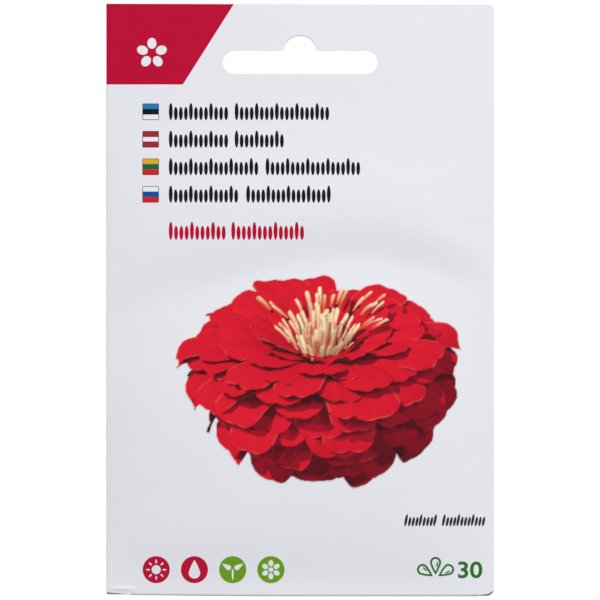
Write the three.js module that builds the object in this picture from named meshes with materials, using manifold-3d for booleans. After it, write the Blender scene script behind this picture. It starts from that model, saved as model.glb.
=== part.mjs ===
// A flat paper seed packet that hangs on a peg by its slot, with loose seeds inside.
//
// One sheet of coated paper is folded into a flat tube: the front panel, a fold down each side, and two
// back panels that lap over each other down the middle. A flap at the bottom of the front panel is folded up
// behind the tube. Films of glue close the packet: in the back lap, under the flap, and between front and
// back in the header, where the hanging slot is punched through every layer.
//
// Millimetres. +X is the packet's width, +Y points to its back, +Z is up.
// The origin is the top of the slot's arch, where the peg carries the packet.

import * as THREE from 'three';
import { mergeVertices } from 'three/addons/utils/BufferGeometryUtils.js';
import Module from 'manifold-3d';

const wasm = await Module();
wasm.setup();

// Driving dimensions

const WIDTH = 80;
const HEIGHT = 122;
const PAPER = 0.15;
const GLUE = 0.1;

const SLOT_WIDTH = 32;
const SLOT_BAND = 4.8; // height of the straight part, whose ends are round
const ARCH_RADIUS = 3.5;
const ARCH_RISE = 3.2; // from the band's upper edge to the top of the arch
const ARCH_DROP = 6.4; // from the packet's upper edge to the top of the arch

const BULGE = 2.4; // how far the front panel stands out over the seeds
const FLAT_FOOT = 2.5; // height of the flat strip at the bottom of the tube
const FLAT_HEADER = 19; // height of the flat header
const BULGE_FOOT_RISE = 9; // height over which the bulge swells above the foot

const LAP_WIDTH = 10;
const LAP_JOG = 1; // width of the step where one back panel climbs over the other

const FLAP_LEFT = -35.1;
const FLAP_RIGHT = 36.8;
const FLAP_HEIGHT = 12;
const CORNER_CUT = 0.5; // how far the tube's lower edge stops above the flap's fold

const SEED_COUNT = 30;
const SEED_LENGTH = 8;
const SEED_WIDTH = 3.8;
const SEED_THICKNESS = 1.1;
const CLEARANCE = 0.3; // between loose pieces

// Levels that follow from them

const TOP = ARCH_DROP;
const BOTTOM = TOP - HEIGHT;
const TUBE_BOTTOM = BOTTOM + CORNER_CUT;
const BULGE_BOTTOM = TUBE_BOTTOM + FLAT_FOOT;
const BULGE_TOP = TOP - FLAT_HEADER;
const FOLD_RADIUS = GLUE / 2 + PAPER; // outside of a side fold, which closes round a film of air
const FOLD_X = WIDTH / 2 - FOLD_RADIUS; // centre line of a side fold
const BACK_INSIDE = GLUE / 2;
const BACK_OUTSIDE = BACK_INSIDE + PAPER;
const LAP_INSIDE = BACK_OUTSIDE + GLUE;
const LAP_OUTSIDE = LAP_INSIDE + PAPER;
const FLAP_INSIDE = LAP_OUTSIDE + GLUE;
const FRONT_OUTSIDE = -FOLD_RADIUS;

// Solids

// A closed mesh, with its shared corners merged, as a solid that can be joined and cut.
function solidOf(geometry) {
  const bare = geometry.clone();
  bare.deleteAttribute('normal');
  bare.deleteAttribute('uv');
  const merged = mergeVertices(bare, 1e-5);
  return new wasm.Manifold(new wasm.Mesh({
    numProp: 3,
    vertProperties: merged.attributes.position.array,
    triVerts: new Uint32Array(merged.index.array),
  }));
}

function geometryOf(solid) {
  const mesh = solid.getMesh();
  const geometry = new THREE.BufferGeometry();
  geometry.setAttribute('position', new THREE.BufferAttribute(mesh.vertProperties, 3));
  geometry.setIndex(new THREE.BufferAttribute(mesh.triVerts, 1));
  geometry.computeVertexNormals();
  return geometry;
}

// A shape drawn in X and Z, made solid from the front level to the back level along Y.
function plate(shape, front, back) {
  const settings = { depth: back - front, bevelEnabled: false, curveSegments: 16 };
  const geometry = new THREE.ExtrudeGeometry(shape, settings);
  geometry.rotateX(Math.PI / 2); // the drawing's Y becomes Z, and its depth runs to -Y
  geometry.translate(0, back, 0);
  return geometry;
}

function rectangle(left, right, bottom, top) {
  return new THREE.Shape([
    new THREE.Vector2(left, bottom),
    new THREE.Vector2(right, bottom),
    new THREE.Vector2(right, top),
    new THREE.Vector2(left, top),
  ]);
}

// The solid between two grids of points, one on each face of a sheet, closed along its four edges.
function sheetBetween(outerRows, innerRows) {
  const rows = outerRows.length;
  const columns = outerRows[0].length;
  const positions = [...outerRows, ...innerRows].flat().flatMap((p) => [p.x, p.y, p.z]);
  const outer = (row, column) => row * columns + column;
  const inner = (row, column) => (rows + row) * columns + column;
  const index = [];
  const quad = (a, b, c, d) => index.push(a, b, c, a, c, d);
  for (let r = 0; r + 1 < rows; r++) {
    for (let c = 0; c + 1 < columns; c++) {
      quad(outer(r, c), outer(r, c + 1), outer(r + 1, c + 1), outer(r + 1, c));
      quad(inner(r, c), inner(r + 1, c), inner(r + 1, c + 1), inner(r, c + 1));
    }
    quad(outer(r, 0), outer(r + 1, 0), inner(r + 1, 0), inner(r, 0));
    quad(outer(r, columns - 1), inner(r, columns - 1), inner(r + 1, columns - 1), outer(r + 1, columns - 1));
  }
  for (let c = 0; c + 1 < columns; c++) {
    quad(outer(0, c), inner(0, c), inner(0, c + 1), outer(0, c + 1));
    quad(outer(rows - 1, c), outer(rows - 1, c + 1), inner(rows - 1, c + 1), inner(rows - 1, c));
  }
  const geometry = new THREE.BufferGeometry();
  geometry.setAttribute('position', new THREE.Float32BufferAttribute(positions, 3));
  geometry.setIndex(index);
  return geometry;
}

// The wrapper

// How far the front panel stands out from its flat place: fullest just above the foot, gone at the header.
function bulgeAt(x, z) {
  if (z <= BULGE_BOTTOM || z >= BULGE_TOP) return 0;
  const across = 1 - Math.abs(x / FOLD_X) ** 4;
  const swell = 1 - Math.exp((BULGE_BOTTOM - z) / BULGE_FOOT_RISE);
  const fade = 1 - ((z - BULGE_BOTTOM) / (BULGE_TOP - BULGE_BOTTOM)) ** 2;
  return BULGE * across * swell * fade;
}

// The tube's section at one height, from the free edge of the under lap round to the free edge of the upper
// lap. Each point is a pair, one on the paper's outside and one on its inside.
function tubeSection(z) {
  const FOLD_STEPS = 6;
  const PANEL_STEPS = 24;
  const outer = [];
  const inner = [];
  const add = (outerX, outerY, innerX, innerY) => {
    outer.push(new THREE.Vector3(outerX, outerY, z));
    inner.push(new THREE.Vector3(innerX, innerY, z));
  };
  const addFold = (side, from, to) => {
    for (let i = 0; i <= FOLD_STEPS; i++) {
      const turn = from + ((to - from) * i) / FOLD_STEPS;
      const out = side * Math.cos(turn);
      const back = Math.sin(turn);
      const centre = side * FOLD_X;
      add(centre + FOLD_RADIUS * out, FOLD_RADIUS * back, centre + BACK_INSIDE * out, BACK_INSIDE * back);
    }
  };
  add(LAP_WIDTH / 2, BACK_OUTSIDE, LAP_WIDTH / 2, BACK_INSIDE);
  addFold(-1, Math.PI / 2, -Math.PI / 2);
  for (let i = 1; i < PANEL_STEPS; i++) {
    const x = FOLD_X * ((2 * i) / PANEL_STEPS - 1);
    const y = -bulgeAt(x, z);
    add(x, y + FRONT_OUTSIDE, x, y - BACK_INSIDE);
  }
  addFold(1, -Math.PI / 2, Math.PI / 2);
  const jogStart = LAP_WIDTH / 2 + LAP_JOG + CLEARANCE;
  const jogEnd = LAP_WIDTH / 2 + CLEARANCE;
  add(jogStart, BACK_OUTSIDE, jogStart, BACK_INSIDE);
  add(jogEnd, LAP_OUTSIDE, jogEnd, LAP_INSIDE);
  add(-LAP_WIDTH / 2, LAP_OUTSIDE, -LAP_WIDTH / 2, LAP_INSIDE);
  return { outer, inner };
}

// Heights of the tube's rows: close together where the bulge swells above the foot, even above that.
function tubeHeights() {
  const FOOT_ROWS = 6;
  const POUCH_ROWS = 16;
  const footTop = BULGE_BOTTOM + 3 * BULGE_FOOT_RISE;
  const heights = [TUBE_BOTTOM];
  for (let i = 0; i < FOOT_ROWS; i++) {
    heights.push(THREE.MathUtils.lerp(BULGE_BOTTOM, footTop, (i / FOOT_ROWS) ** 1.5));
  }
  for (let i = 0; i <= POUCH_ROWS; i++) {
    heights.push(THREE.MathUtils.lerp(footTop, BULGE_TOP, i / POUCH_ROWS));
  }
  heights.push(TOP);
  return heights;
}

function tube() {
  const sections = tubeHeights().map(tubeSection);
  return solidOf(sheetBetween(sections.map((s) => s.outer), sections.map((s) => s.inner)));
}

// The strip of front panel below the tube, the fold under it, and the flap folded up behind.
function flap() {
  const FOLD_STEPS = 8;
  const OVERLAP = 1; // the strip reaches this far up into the front panel, and is joined to it
  const centre = (FRONT_OUTSIDE + FLAP_INSIDE + PAPER) / 2;
  const radius = centre - FRONT_OUTSIDE;
  const outerProfile = [[FRONT_OUTSIDE, TUBE_BOTTOM + OVERLAP]];
  const innerProfile = [[FRONT_OUTSIDE + PAPER, TUBE_BOTTOM + OVERLAP]];
  for (let i = 0; i <= FOLD_STEPS; i++) {
    const turn = Math.PI * (1 + i / FOLD_STEPS);
    outerProfile.push([centre + radius * Math.cos(turn), BOTTOM + radius * (1 + Math.sin(turn))]);
    innerProfile.push([
      centre + (radius - PAPER) * Math.cos(turn),
      BOTTOM + radius + (radius - PAPER) * Math.sin(turn),
    ]);
  }
  outerProfile.push([FLAP_INSIDE + PAPER, BOTTOM + FLAP_HEIGHT]);
  innerProfile.push([FLAP_INSIDE, BOTTOM + FLAP_HEIGHT]);
  const rowAt = (profile, x) => profile.map(([y, z]) => new THREE.Vector3(x, y, z));
  const rowsOf = (profile) => [rowAt(profile, FLAP_LEFT), rowAt(profile, FLAP_RIGHT)];
  return solidOf(sheetBetween(rowsOf(outerProfile), rowsOf(innerProfile)));
}

// The hanging slot, right through every layer: a band with round ends and an arch in the middle of its top.
function slotPunch() {
  const bandTop = -ARCH_RISE;
  const bandBottom = bandTop - SLOT_BAND;
  const endRadius = SLOT_BAND / 2;
  const endX = SLOT_WIDTH / 2 - endRadius;
  const archCentre = -ARCH_RADIUS;
  const archTurn = Math.asin((bandTop - archCentre) / ARCH_RADIUS);
  const shape = new THREE.Shape();
  shape.moveTo(-endX, bandBottom);
  shape.lineTo(endX, bandBottom);
  shape.absarc(endX, bandBottom + endRadius, endRadius, -Math.PI / 2, Math.PI / 2);
  shape.absarc(0, archCentre, ARCH_RADIUS, archTurn, Math.PI - archTurn);
  shape.absarc(-endX, bandBottom + endRadius, endRadius, Math.PI / 2, (3 * Math.PI) / 2);
  return solidOf(plate(shape, -2, 2));
}

const slot = slotPunch();
const wrapper = tube().add(flap()).subtract(slot);

// The glue

const GLUE_MARGIN = 1; // the glue stops this far inside a paper edge

function headerGlue() {
  const half = FOLD_X - GLUE_MARGIN;
  const area = rectangle(-half, half, BULGE_TOP + GLUE_MARGIN, TOP - GLUE_MARGIN);
  return solidOf(plate(area, -GLUE / 2, GLUE / 2));
}

function lapGlue() {
  const half = LAP_WIDTH / 2 - GLUE_MARGIN;
  const area = rectangle(-half, half, TUBE_BOTTOM + GLUE_MARGIN, TOP - GLUE_MARGIN);
  return solidOf(plate(area, BACK_OUTSIDE, LAP_INSIDE));
}

// The film under the flap is thin over the lap and thicker beside it, where there is one layer less.
function flapGlue() {
  const bottom = TUBE_BOTTOM + GLUE_MARGIN;
  const top = BOTTOM + FLAP_HEIGHT - GLUE_MARGIN;
  const film = solidOf(plate(
    rectangle(FLAP_LEFT + GLUE_MARGIN, FLAP_RIGHT - GLUE_MARGIN, bottom, top),
    BACK_OUTSIDE,
    FLAP_INSIDE,
  ));
  const lap = solidOf(plate(
    rectangle(-LAP_WIDTH / 2 - CLEARANCE, LAP_WIDTH / 2 + LAP_JOG + 2 * CLEARANCE, bottom - 1, top + 1),
    BACK_OUTSIDE - 1,
    LAP_OUTSIDE,
  ));
  return film.subtract(lap);
}

// The seeds

const SEED_RINGS = 8;

// A seed's half width at a ring along its length: blunt and widest near one end, drawn out at the other.
function seedRing(ring) {
  const along = (1 - Math.cos((Math.PI * ring) / SEED_RINGS)) / 2;
  const fullness = Math.sin(Math.PI * along ** 0.7) ** 0.6;
  return { x: SEED_LENGTH * (along - 0.5), fullness, halfWidth: Math.max((SEED_WIDTH / 2) * fullness, 0.02) };
}

// A flat seed with its length along X, its thickness along Y and its width along Z.
function seedGeometry() {
  const SIDES = 10;
  const positions = [];
  const index = [];
  for (let r = 0; r <= SEED_RINGS; r++) {
    const { x, fullness, halfWidth } = seedRing(r);
    const halfThickness = Math.max((SEED_THICKNESS / 2) * fullness ** 1.3, 0.02);
    for (let s = 0; s < SIDES; s++) {
      const turn = (2 * Math.PI * s) / SIDES;
      positions.push(x, halfThickness * Math.sin(turn), halfWidth * Math.cos(turn));
    }
  }
  for (let r = 0; r < SEED_RINGS; r++) {
    for (let s = 0; s < SIDES; s++) {
      const a = r * SIDES + s;
      const b = r * SIDES + ((s + 1) % SIDES);
      index.push(a, a + SIDES, b + SIDES, a, b + SIDES, b);
    }
  }
  for (let s = 1; s + 1 < SIDES; s++) {
    const last = SEED_RINGS * SIDES;
    index.push(0, s, s + 1);
    index.push(last, last + s + 1, last + s);
  }
  const geometry = new THREE.BufferGeometry();
  geometry.setAttribute('position', new THREE.Float32BufferAttribute(positions, 3));
  geometry.setIndex(index);
  geometry.computeVertexNormals();
  return geometry;
}

// A seed's outline in the plane of the packet, grown by half the clearance, with its centre at (x, z).
function seedOutline(x, z, tilt) {
  const grow = CLEARANCE / 2;
  const lower = [];
  const upper = [];
  for (let r = 0; r <= SEED_RINGS; r++) {
    const ring = seedRing(r);
    const along = ring.x * (1 + (2 * grow) / SEED_LENGTH);
    lower.push(new THREE.Vector2(along, -ring.halfWidth - grow));
    upper.unshift(new THREE.Vector2(along, ring.halfWidth + grow));
  }
  const centre = new THREE.Vector2(x, z);
  return [...lower, ...upper].map((point) => point.rotateAround(new THREE.Vector2(), tilt).add(centre));
}

// Two convex outlines are apart if the normal of some side of one of them separates them.
function apart(first, second) {
  const separates = (outline, other) => outline.some((point, i) => {
    const side = outline[(i + 1) % outline.length].clone().sub(point);
    const normal = new THREE.Vector2(side.y, -side.x);
    return other.every((p) => p.clone().sub(point).dot(normal) > 0);
  });
  return separates(first, second) || separates(second, first);
}

// The pouch has room for a seed where its front stands far enough out at the seed's rim and over its middle.
function fitsPouch(outline, x, z) {
  const depthAt = (px, pz) => GLUE + bulgeAt(px, pz);
  const core = SEED_THICKNESS + 2 * CLEARANCE;
  const rim = SEED_THICKNESS / 2 + CLEARANCE;
  return depthAt(x, z) > core
    && outline.every((p) => depthAt(p.x, p.y) > rim && depthAt((p.x + x) / 2, (p.y + z) / 2) > core);
}

// A repeatable stream of numbers from 0 to 1.
function numberStream(seed) {
  let state = seed;
  return () => {
    state = (state * 16807) % 2147483647;
    return state / 2147483647;
  };
}

// The seeds fall one by one: each takes the lowest free place among a few, and rests on those below it.
function settledSeeds() {
  const TRIES = 14;
  const STEP = 0.25;
  const SPREAD = 27; // the heap's half width
  const random = numberStream(11);
  const resting = [];
  while (resting.length < SEED_COUNT) {
    let best = null;
    for (let t = 0; t < TRIES; t++) {
      const x = (2 * random() - 1) * SPREAD;
      const tilt = (random() - 0.5) * 1.1 + (random() < 0.5 ? Math.PI : 0);
      let z = BOTTOM + 40;
      const free = (height) => {
        const outline = seedOutline(x, height, tilt);
        return fitsPouch(outline, x, height) && resting.every((seed) => apart(outline, seed.outline));
      };
      while (free(z - STEP)) z -= STEP;
      if (!best || z < best.z) best = { x, z, tilt, outline: seedOutline(x, z, tilt) };
    }
    resting.push(best);
  }
  return resting;
}

// The packet

const paper = new THREE.MeshStandardMaterial({ color: 0xe6e7ec, roughness: 0.45, metalness: 0 });
const glue = new THREE.MeshStandardMaterial({ color: 0xe9e4d2, roughness: 0.6, metalness: 0 });
const husk = new THREE.MeshStandardMaterial({ color: 0x7a6247, roughness: 0.85, metalness: 0 });

function piece(name, geometry, material) {
  const mesh = new THREE.Mesh(geometry, material);
  mesh.name = name;
  return mesh;
}

const packet = new THREE.Group();
packet.add(piece('wrapper', geometryOf(wrapper), paper));
packet.add(piece('header_glue', geometryOf(headerGlue().subtract(slot)), glue));
const byHeight = (a, b) => a.boundingBox().min[2] - b.boundingBox().min[2];
const [lapGlueBelowSlot, lapGlueAboveSlot] = lapGlue().subtract(slot).decompose().sort(byHeight);
packet.add(piece('lap_glue', geometryOf(lapGlueBelowSlot), glue));
packet.add(piece('lap_glue_above_slot', geometryOf(lapGlueAboveSlot), glue));
packet.add(piece('flap_glue', geometryOf(flapGlue()), glue));

// Each seed lies flat against the inside of the back.
const seedY = BACK_INSIDE - CLEARANCE - SEED_THICKNESS / 2;
settledSeeds().forEach(({ x, z, tilt }, i) => {
  const seed = piece(`seed_${String(i + 1).padStart(2, '0')}`, seedGeometry(), husk);
  seed.position.set(x, seedY, z);
  seed.rotation.y = -tilt;
  packet.add(seed);
});

export default packet;
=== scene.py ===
import math

import bmesh
import bpy
import numpy as np
from mathutils import Matrix, Vector
from mathutils.bvhtree import BVHTree


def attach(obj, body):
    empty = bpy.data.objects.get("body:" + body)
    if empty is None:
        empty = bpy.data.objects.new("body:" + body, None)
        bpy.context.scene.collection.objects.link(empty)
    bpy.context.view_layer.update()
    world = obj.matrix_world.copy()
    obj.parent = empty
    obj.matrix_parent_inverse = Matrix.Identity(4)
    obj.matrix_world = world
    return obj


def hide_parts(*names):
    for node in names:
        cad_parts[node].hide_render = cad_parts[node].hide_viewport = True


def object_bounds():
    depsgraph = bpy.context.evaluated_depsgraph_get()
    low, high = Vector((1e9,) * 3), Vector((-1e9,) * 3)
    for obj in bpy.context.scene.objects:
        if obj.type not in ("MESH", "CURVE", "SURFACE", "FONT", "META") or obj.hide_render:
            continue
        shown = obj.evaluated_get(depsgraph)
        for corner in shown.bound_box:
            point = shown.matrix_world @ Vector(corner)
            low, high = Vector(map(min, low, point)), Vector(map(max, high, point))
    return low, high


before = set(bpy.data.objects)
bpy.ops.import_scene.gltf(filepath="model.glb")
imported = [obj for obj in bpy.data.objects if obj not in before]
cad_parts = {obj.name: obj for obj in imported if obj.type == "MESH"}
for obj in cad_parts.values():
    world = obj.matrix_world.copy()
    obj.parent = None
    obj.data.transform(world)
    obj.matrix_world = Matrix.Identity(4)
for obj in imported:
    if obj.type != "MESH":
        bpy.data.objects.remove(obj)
cad_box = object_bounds()
bpy.ops.object.select_all(action="DESELECT")


# The room. A long lens looks straight at the packet's front from 1.2 m, and the frame is 124 mm wide there.
# A white room gives most of the light, with one soft lamp high in front, two weak ones near the header and
# the foot, and one behind. A pale floor lies well below the hanging packet.

MM = 0.001
BOTTOM = cad_box[0][2]
TOP = cad_box[1][2]
AIM_HEIGHT = 60.9 * MM  # above the packet's lower edge
AIM = Vector((0, 0, BOTTOM + AIM_HEIGHT))
CAMERA_DISTANCE = 1.2
FRAME_WIDTH = 124 * MM

camera_data = bpy.data.cameras.new("camera")
camera_data.lens = camera_data.sensor_width * CAMERA_DISTANCE / FRAME_WIDTH
camera = bpy.data.objects.new("camera", camera_data)
bpy.context.collection.objects.link(camera)
camera.location = AIM + Vector((0, -CAMERA_DISTANCE, 0))
camera.rotation_euler = (math.radians(90), 0, 0)
bpy.context.scene.camera = camera
bpy.context.scene.view_settings.view_transform = "Standard"


class Value:
    """One output of a shader node. Sums, differences and products of values add their Math nodes."""

    def __init__(self, tree, output=None):
        self.tree = tree
        self.output = output

    def node(self, kind, settings=None, inputs=None, output=0):
        """Adds a node: its settings are set first, then the values or links of its sockets."""
        made = self.tree.nodes.new(kind)
        for name, setting in (settings or {}).items():
            setattr(made, name, setting)
        for key, value in (inputs or {}).items():
            if isinstance(value, Value):
                self.tree.links.new(value.output, made.inputs[key])
            else:
                made.inputs[key].default_value = value
        return Value(self.tree, made.outputs[output])

    def math(self, operation, *values):
        return self.node("ShaderNodeMath", {"operation": operation}, dict(enumerate(values)))

    def __add__(self, other):
        return self.math("ADD", self, other)

    def __sub__(self, other):
        return self.math("SUBTRACT", self, other)

    def __rsub__(self, other):
        return self.math("SUBTRACT", other, self)

    def __mul__(self, other):
        return self.math("MULTIPLY", self, other)

    __radd__ = __add__
    __rmul__ = __mul__


SEEN_WHITE = 1.0  # the room as the camera sees it
ROOM_LIGHT = 0.475  # as it lights the packet
ROOM_GLOSS = 0.25  # as the paper's gloss mirrors it

world = bpy.data.worlds.new("white_room")
bpy.context.scene.world = world
world.use_nodes = True
room = Value(world.node_tree)
seen = room.node("ShaderNodeLightPath", output="Is Camera Ray")
glossy = room.node("ShaderNodeLightPath", output="Is Glossy Ray")
strength = ROOM_LIGHT + seen * (SEEN_WHITE - ROOM_LIGHT) + glossy * (ROOM_GLOSS - ROOM_LIGHT)
background = world.node_tree.nodes["Background"]
background.inputs["Color"].default_value = (1, 1, 1, 1)
world.node_tree.links.new(strength.output, background.inputs["Strength"])


def softbox(name, place, size, power):
    """A square soft lamp at a place given from the aim, facing it."""
    data = bpy.data.lights.new(name, "AREA")
    data.size = size
    data.energy = power
    lamp = bpy.data.objects.new(name, data)
    bpy.context.collection.objects.link(lamp)
    lamp.location = AIM + Vector(place)
    lamp.rotation_euler = (-Vector(place)).to_track_quat("-Z", "Y").to_euler()
    lamp.visible_camera = False


softbox("high_key", (0.25, -0.85, 1.05), size=0.6, power=13.6)
softbox("header_fill", (0.10, -0.16, 0.16), size=0.15, power=0.06)
softbox("foot_fill", (0.03, -0.20, -0.14), size=0.15, power=0.07)
softbox("back_light", (0.30, 1.00, 0.60), size=0.6, power=6.5)

FLOOR_DROP = 1.3
FLOOR_RADIUS = 6.0
FLOOR_WHITE = (0.85, 0.85, 0.85, 1)
FLOOR_ROUGHNESS = 0.9
FLOOR_GLOW = 0.36  # only the camera sees it, so it makes the floor pale and lights nothing

bpy.ops.mesh.primitive_circle_add(
    vertices=96, radius=FLOOR_RADIUS, fill_type="NGON", location=(0, 0, BOTTOM - FLOOR_DROP))
studio_floor = bpy.context.active_object
studio_floor.name = "studio_floor"
floor_finish = bpy.data.materials.new("pale_floor")
floor_finish.use_nodes = True
floor_shader = floor_finish.node_tree.nodes["Principled BSDF"]
floor_shader.inputs["Base Color"].default_value = FLOOR_WHITE
floor_shader.inputs["Roughness"].default_value = FLOOR_ROUGHNESS
floor_shader.inputs["Emission Strength"].default_value = FLOOR_GLOW
floor_seen = Value(floor_finish.node_tree).node("ShaderNodeLightPath", output="Is Camera Ray")
floor_finish.node_tree.links.new(floor_seen.output, floor_shader.inputs["Emission Color"])
studio_floor.data.materials.append(floor_finish)


# The wrapper. One sheet of white coated paper is folded round the sides into a flat tube, glued down its
# back in a lap, and closed by a flap turned up over its foot. It starts as the front panel, a fine grid;
# its edges are spun round the folds and drawn on into the back, the lap and the flap.

PAPER = 0.15 * MM
GLUE = 0.1 * MM
FOLD_RADIUS = GLUE / 2 + PAPER
FOLD_X = cad_box[1][0] - FOLD_RADIUS
LAP_HALF = 5 * MM
LAP_JOG = 1 * MM
LAP_SLACK = 0.3 * MM
FLAP_LEFT = -35.1 * MM
FLAP_RIGHT = 36.8 * MM
FLAP_HEIGHT = 12 * MM
FLAP_CORNER = 1.6 * MM
FLAP_FOLD_RADIUS = (cad_box[1][1] + FOLD_RADIUS) / 2
FLAP_FOLD_Z = BOTTOM + FLAP_FOLD_RADIUS
TUBE_BOTTOM = FLAP_FOLD_Z + 0.05 * MM
CORNER_GAP = 0.1 * MM  # the tube's corners, beside the flap, end this far above its fold
FLAP_SLIT = 0.08 * MM
TOP_TRIM = 0.2 * MM
TOP_SKEW = 0.003
TOP_CORNER = 1.0 * MM
LOW_CORNER = 1.4 * MM
CORNER_REACH = 3.5 * MM
FOOT_SAG = 0.35 * MM
LIFT_HEIGHT = 1.6 * MM
# Where a lower front corner starts to ride up, how far that goes, how high, and its power.
LEFT_LIFT = (34.9 * MM, 5.0 * MM, 0.42 * MM, 0.9)
RIGHT_LIFT = (33.8 * MM, 5.6 * MM, 0.50 * MM, 1.8)

COLUMNS = 100
ROWS = 152
FOLD_STEPS = 6
FLAP_FOLD_STEPS = 8
CORNER_CUTS = 9
FOOT_CUTS = 8
FIRST_FOOT_CUT = 0.2 * MM
FOOT_CUT_STEP = 0.27 * MM
BACK_CUTS = 40
CLOSE = 0.01 * MM  # places nearer than this lie on one line
FINE = 0.001 * MM
DOUBLES = 0.002 * MM


def only(piece):
    """Selects one object alone and makes it the active one."""
    bpy.ops.object.select_all(action="DESELECT")
    piece.select_set(True)
    bpy.context.view_layer.objects.active = piece


def settle(piece):
    """Puts the object's place, turn and scale into its mesh."""
    only(piece)
    bpy.ops.object.transform_apply(location=True, rotation=True, scale=True)


def choose(piece, test):
    """In edit mode, selects the vertices whose place passes the test, and what lies between them."""
    bpy.ops.mesh.select_all(action="DESELECT")
    mesh = bmesh.from_edit_mesh(piece.data)
    for vertex in mesh.verts:
        if test(vertex.co):
            vertex.select_set(True)
    mesh.select_flush(True)
    bmesh.update_edit_mesh(piece.data)


def near(value, target):
    return abs(value - target) < CLOSE


def cut(place, normal, **settings):
    """Bisects the whole mesh in edit mode."""
    bpy.ops.mesh.select_all(action="SELECT")
    bpy.ops.mesh.bisect(plane_co=place, plane_no=normal, threshold=FINE, **settings)


def draw_out(x=0.0, y=0.0, z=0.0):
    """Extrudes what is selected and moves it."""
    bpy.ops.mesh.extrude_region_move(TRANSFORM_OT_translate={"value": (x, y, z)})


def modify(piece, kind, **settings):
    """Adds a modifier and applies it."""
    only(piece)
    modifier = piece.modifiers.new(kind.lower(), kind)
    for name, value in settings.items():
        setattr(modifier, name, value)
    bpy.ops.object.modifier_apply(modifier=modifier.name)


bpy.ops.mesh.primitive_grid_add(
    x_subdivisions=COLUMNS, y_subdivisions=ROWS, size=1, rotation=(math.radians(90), 0, 0),
    location=(0, -FOLD_RADIUS, (TOP + TOP_TRIM + TUBE_BOTTOM) / 2))
wrapper = bpy.context.active_object
wrapper.name = "paper_wrapper"
wrapper.scale = (2 * FOLD_X, TOP + TOP_TRIM - TUBE_BOTTOM, 1)
settle(wrapper)

bpy.ops.object.mode_set(mode="EDIT")
bpy.ops.mesh.select_mode(type="VERT")
for step in range(FOOT_CUTS):
    cut((0, 0, TUBE_BOTTOM + FIRST_FOOT_CUT + step * FOOT_CUT_STEP), (0, 0, 1))

choose(wrapper, lambda p: near(p.x, -FOLD_X))
bpy.ops.mesh.spin(steps=FOLD_STEPS, angle=math.pi, center=(-FOLD_X, 0, 0), axis=(0, 0, 1))
choose(wrapper, lambda p: near(p.x, -FOLD_X) and p.y > 0)
draw_out(x=FOLD_X + LAP_HALF)
choose(wrapper, lambda p: near(p.x, FOLD_X))
bpy.ops.mesh.spin(steps=FOLD_STEPS, angle=math.pi, center=(FOLD_X, 0, 0), axis=(0, 0, -1))
choose(wrapper, lambda p: near(p.x, FOLD_X) and p.y > 0)
draw_out(x=LAP_HALF + LAP_JOG + LAP_SLACK - FOLD_X)
draw_out(x=-LAP_JOG, y=PAPER + GLUE)
draw_out(x=-LAP_SLACK - 2 * LAP_HALF)

for place in (FLAP_LEFT, FLAP_RIGHT, *(FOLD_X - step * FOLD_RADIUS for step in range(1, CORNER_CUTS))):
    cut((place, 0, 0), (1, 0, 0))
choose(wrapper, lambda p: near(p.z, TUBE_BOTTOM) and not FLAP_LEFT + CLOSE < p.x < FLAP_RIGHT - CLOSE)
draw_out(z=BOTTOM + CORNER_GAP - TUBE_BOTTOM)
choose(wrapper, lambda p: near(p.z, TUBE_BOTTOM) and p.y < 0 and FLAP_LEFT - CLOSE < p.x < FLAP_RIGHT + CLOSE)
draw_out(z=FLAP_FOLD_Z - TUBE_BOTTOM)
flap_width = FLAP_RIGHT - FLAP_LEFT
flap_middle = ((FLAP_LEFT + FLAP_RIGHT) / 2, 0, 0)
bpy.ops.transform.resize(value=(1 - 2 * FLAP_SLIT / flap_width, 1, 1), center_override=flap_middle)
flap_fold = (0, FLAP_FOLD_RADIUS - FOLD_RADIUS, FLAP_FOLD_Z)
bpy.ops.mesh.spin(steps=FLAP_FOLD_STEPS, angle=math.pi, axis=(-1, 0, 0), center=flap_fold)
draw_out(z=BOTTOM + FLAP_HEIGHT - FLAP_CORNER - FLAP_FOLD_Z)
draw_out(z=FLAP_CORNER)
bpy.ops.transform.resize(value=(1 - 4 * FLAP_CORNER / flap_width, 1, 1), center_override=flap_middle)

cut((0, 0, TOP), (TOP_SKEW, 0, 1), clear_outer=True)
bpy.ops.mesh.select_all(action="SELECT")
bpy.ops.mesh.remove_doubles(threshold=DOUBLES)
for step in range(1, BACK_CUTS):
    choose(wrapper, lambda p: p.y > FOLD_RADIUS - CLOSE)
    place = (FOLD_X * (2 * step / BACK_CUTS - 1), 0, 0)
    bpy.ops.mesh.bisect(plane_co=place, plane_no=(1, 0, 0), threshold=FINE)
bpy.ops.mesh.select_all(action="SELECT")
bpy.ops.mesh.normals_make_consistent(inside=False)
bpy.ops.object.mode_set(mode="OBJECT")

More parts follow.
